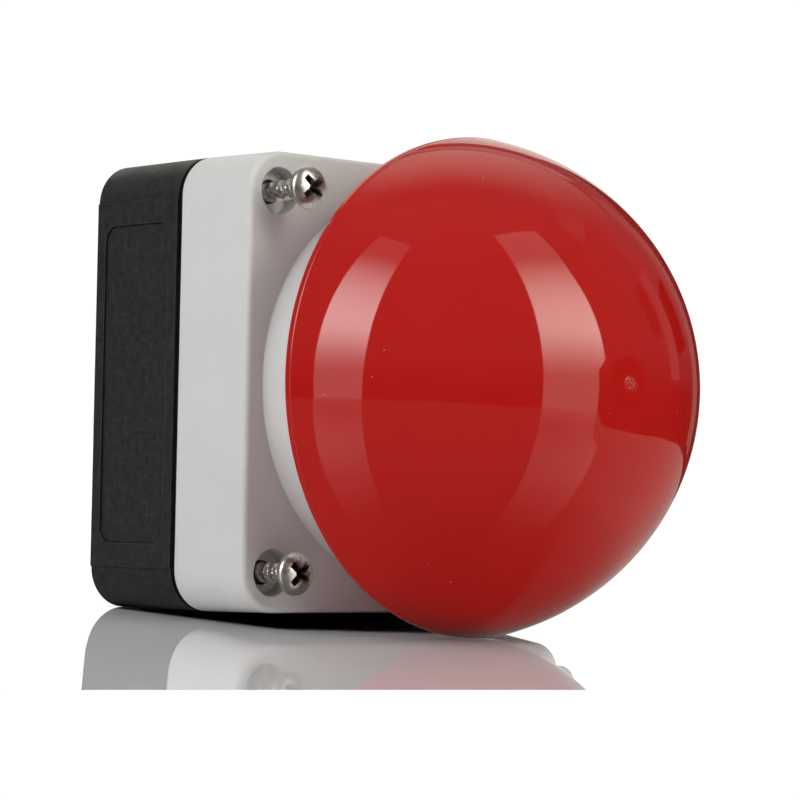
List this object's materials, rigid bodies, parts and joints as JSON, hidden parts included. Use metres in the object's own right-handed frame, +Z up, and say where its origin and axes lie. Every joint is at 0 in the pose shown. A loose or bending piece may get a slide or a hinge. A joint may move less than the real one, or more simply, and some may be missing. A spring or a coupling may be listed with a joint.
{
  "type": "pushbutton switch",
  "caption": "Wall-mounted pushbutton switch: a large red mushroom dome slides on a grey cover screwed to a black base and works sealed contact blocks inside.",
  "frame": {"origin": "centre of the base's flat rear face, which lies against the wall", "axes": "+Y into the wall, -Y out through the dome along the press axis, +Z up, +X to the right"},
  "size_m": [0.0938, 0.1039, 0.0938],
  "materials": {
    "base_black": "fine moulded texture, black",
    "cover_grey": "fine moulded texture, light grey",
    "dome_red": "polished red moulding",
    "screw_steel": "bright zinc plating",
    "spring_steel": "drawn wire",
    "seal_rubber": "soft black rubber",
    "stem_white": "natural slide plastic",
    "block_grey": "dark grey moulding",
    "plunger_green": "green moulding",
    "plunger_red": "red moulding",
    "contact_brass": "bare stamped brass"
  },
  "bodies": {
    "enclosure": {"rear_base": "base_black", "front_cover": "cover_grey", "cover_gasket": "seal_rubber", "cover_screws": "screw_steel", "return_spring": "spring_steel", "stem_boot": "seal_rubber", "no_housing": "block_grey", "no_lid": "block_grey", "no_strip_upper": "contact_brass", "no_strip_lower": "contact_brass", "no_clamps": "screw_steel", "no_terminal_screws": "screw_steel", "nc_housing": "block_grey", "nc_lid": "block_grey", "nc_strip_upper": "contact_brass", "nc_strip_lower": "contact_brass", "nc_clamps": "screw_steel", "nc_terminal_screws": "screw_steel", "no_return_spring": "spring_steel", "nc_contact_spring": "spring_steel"},
    "actuator": {"dome_cap": "dome_red", "plunger_stem": "stem_white", "dome_screw": "screw_steel"},
    "closing_plunger": {"no_plunger": "plunger_green", "no_contact_spring": "spring_steel"},
    "closing_bridge": {"no_bridge": "contact_brass"},
    "opening_plunger": {"nc_plunger": "plunger_red", "nc_plunger_spring": "spring_steel"},
    "opening_bridge": {"nc_bridge": "contact_brass"}
  },
  "joints": [
    {"name": "dome_press", "type": "slide", "parent": "enclosure", "child": "actuator", "axis": [0, 1, 0], "range_m": [0, 0.0055], "stiffness_N_per_m": 1500, "springref_m": -0.006, "deforming": ["return_spring", "stem_boot"]},
    {"name": "no_plunger_slide", "type": "slide", "parent": "enclosure", "child": "closing_plunger", "axis": [0, 1, 0], "range_m": [0, 0.0055], "deforming": ["no_return_spring"]},
    {"name": "no_bridge_slide", "type": "slide", "parent": "enclosure", "child": "closing_bridge", "axis": [0, 1, 0], "range_m": [0, 0.0033], "deforming": ["no_contact_spring"]},
    {"name": "nc_plunger_slide", "type": "slide", "parent": "enclosure", "child": "opening_plunger", "axis": [0, 1, 0], "range_m": [0, 0.0055], "deforming": ["nc_plunger_spring"]},
    {"name": "nc_bridge_slide", "type": "slide", "parent": "enclosure", "child": "opening_bridge", "axis": [0, 1, 0], "range_m": [0, 0.0033], "deforming": ["nc_contact_spring"]}
  ],
  "couplings": [
    {"joint": "no_plunger_slide", "follows": "dome_press", "ratio": 1},
    {"joint": "no_bridge_slide", "follows": "dome_press", "ratio": 0.6},
    {"joint": "nc_plunger_slide", "follows": "dome_press", "ratio": 1},
    {"joint": "nc_bridge_slide", "follows": "dome_press", "ratio": 0.6}
  ]
}
